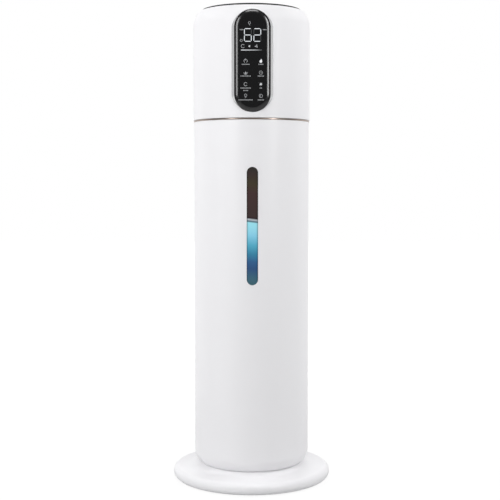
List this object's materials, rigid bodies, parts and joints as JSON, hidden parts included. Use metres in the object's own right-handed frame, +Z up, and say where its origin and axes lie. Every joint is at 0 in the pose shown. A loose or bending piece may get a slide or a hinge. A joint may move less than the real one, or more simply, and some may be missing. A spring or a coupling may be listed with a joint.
{
  "type": "cool mist humidifier",
  "caption": "Slender white floor-standing cool mist humidifier: round foot, tall water tank with a level window, and a lift-off head with a black touch panel and a turning mist nozzle.",
  "frame": {"origin": "on the floor, under the tower's axis, at the bottom of the rubber feet", "axes": "+Z up along the tower's axis, the control panel faces -Y, +X to the panel's right"},
  "size_m": [0.222, 0.222, 0.6682],
  "materials": {
    "gloss_white": "smooth glossy white moulding",
    "matte_white": "fine matte white moulding",
    "dark_trim": "dark polished metallic ring",
    "silver_bezel": "bright silver plating",
    "black_glass": "glossy black front panel with lit symbols",
    "black_plastic": "matte black moulding",
    "smoke_window": "smoked clear plastic",
    "clear_lens": "clear plastic",
    "rubber": "soft grey rubber",
    "lead_sheath": "white flexible sheath",
    "circuit_board": "green solder mask",
    "foam": "open foam",
    "steel": "stainless steel",
    "heat_sink_metal": "extruded aluminium",
    "copper_winding": "enamelled copper wire"
  },
  "bodies": {
    "tank": {"foot_base": "gloss_white", "foot_cover": "matte_white", "rubber_feet": "rubber", "cover_screws": "steel", "tank_screws": "steel", "tank_shell": "gloss_white", "window_lens": "smoke_window", "window_seal": "rubber", "tank_trim_ring": "dark_trim"},
    "head": {"head_shell": "gloss_white", "chassis": "matte_white", "head_seal": "rubber", "head_screws": "steel", "top_trim_ring": "dark_trim", "top_cover": "gloss_white", "mist_duct": "matte_white", "duct_seal": "rubber", "panel_bezel": "silver_bezel", "panel_lens": "black_glass", "touch_board": "circuit_board", "touch_pads": "foam", "display_module": "black_plastic", "board_screws": "steel", "main_board": "circuit_board", "main_board_parts": "black_plastic", "heat_sink": "heat_sink_metal", "night_light_board": "circuit_board", "night_light_lens": "clear_lens", "uv_lamp": "black_plastic", "dc_jack": "black_plastic", "dc_jack_nut": "black_plastic", "fan_frame": "black_plastic", "fan_stator": "copper_winding", "fan_screws": "steel", "filter_frame": "matte_white", "air_filter": "foam", "humidity_sensor": "black_plastic", "guide_rods": "steel", "guide_foot": "matte_white", "rod_nuts": "steel", "rod_collars": "matte_white", "lead_grommet": "rubber", "float_lead": "lead_sheath"},
    "float": {"float_hull": "matte_white", "float_lid": "matte_white", "float_bushes": "black_plastic", "splash_guard": "matte_white", "atomizer_can": "steel", "atomizer_board": "circuit_board", "atomizer_disc": "steel", "disc_seal": "rubber", "disc_clamp": "steel", "clamp_screws": "steel", "water_sensor_pins": "steel", "lead_clamp": "black_plastic"},
    "nozzle": {"mist_nozzle": "gloss_white"},
    "fan": {"fan_rotor": "black_plastic", "fan_shaft": "steel"},
    "grille": {"inlet_grille": "matte_white"}
  },
  "joints": [
    {"name": "head_lift", "type": "slide", "parent": "tank", "child": "head", "axis": [0, 0, 1], "range_m": [0, 0.52]},
    {"name": "float_slide", "type": "slide", "parent": "head", "child": "float", "axis": [0, 0, 1], "range_m": [0, 0.36], "deforming": ["float_lead"]},
    {"name": "nozzle_turn", "type": "hinge", "parent": "head", "child": "nozzle", "pos_m": [0, 0, 0.652], "axis": [0, 0, 1], "continuous": true},
    {"name": "fan_spin", "type": "hinge", "parent": "head", "child": "fan", "pos_m": [0, 0.05, 0.517], "axis": [0, 0, 1], "continuous": true},
    {"name": "grille_pull", "type": "slide", "parent": "head", "child": "grille", "axis": [0, 1, 0], "range_m": [0, 0.03]}
  ]
}
